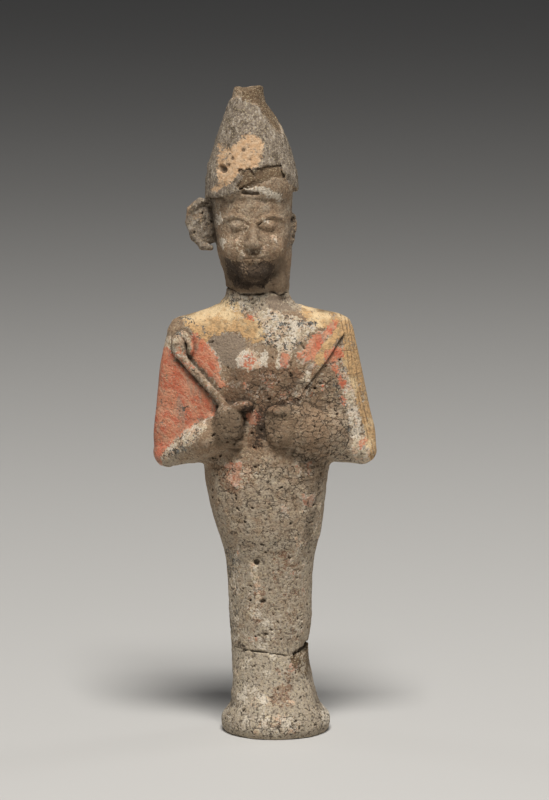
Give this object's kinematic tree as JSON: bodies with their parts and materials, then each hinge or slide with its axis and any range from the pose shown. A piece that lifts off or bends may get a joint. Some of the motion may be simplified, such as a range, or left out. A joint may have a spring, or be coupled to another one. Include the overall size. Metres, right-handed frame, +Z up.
{
  "type": "egyptian god statuette",
  "caption": "Standing mummiform god in painted clay with a tall crown, crossed arms, crook and flail, on a thick round foot.",
  "frame": {"origin": "centre of the flat underside of the round foot, on the surface the figure stands on", "axes": "+Z up along the figure, -Y the way the face looks, +X towards the figure's left hand with the flail"},
  "size_m": [0.0783, 0.0398, 0.23],
  "materials": {
    "painted_clay": "matt weathered clay with worn white ground and red, yellow ochre and cream paint"
  },
  "bodies": {
    "root": {"figure": "painted_clay"}
  },
  "joints": []
}
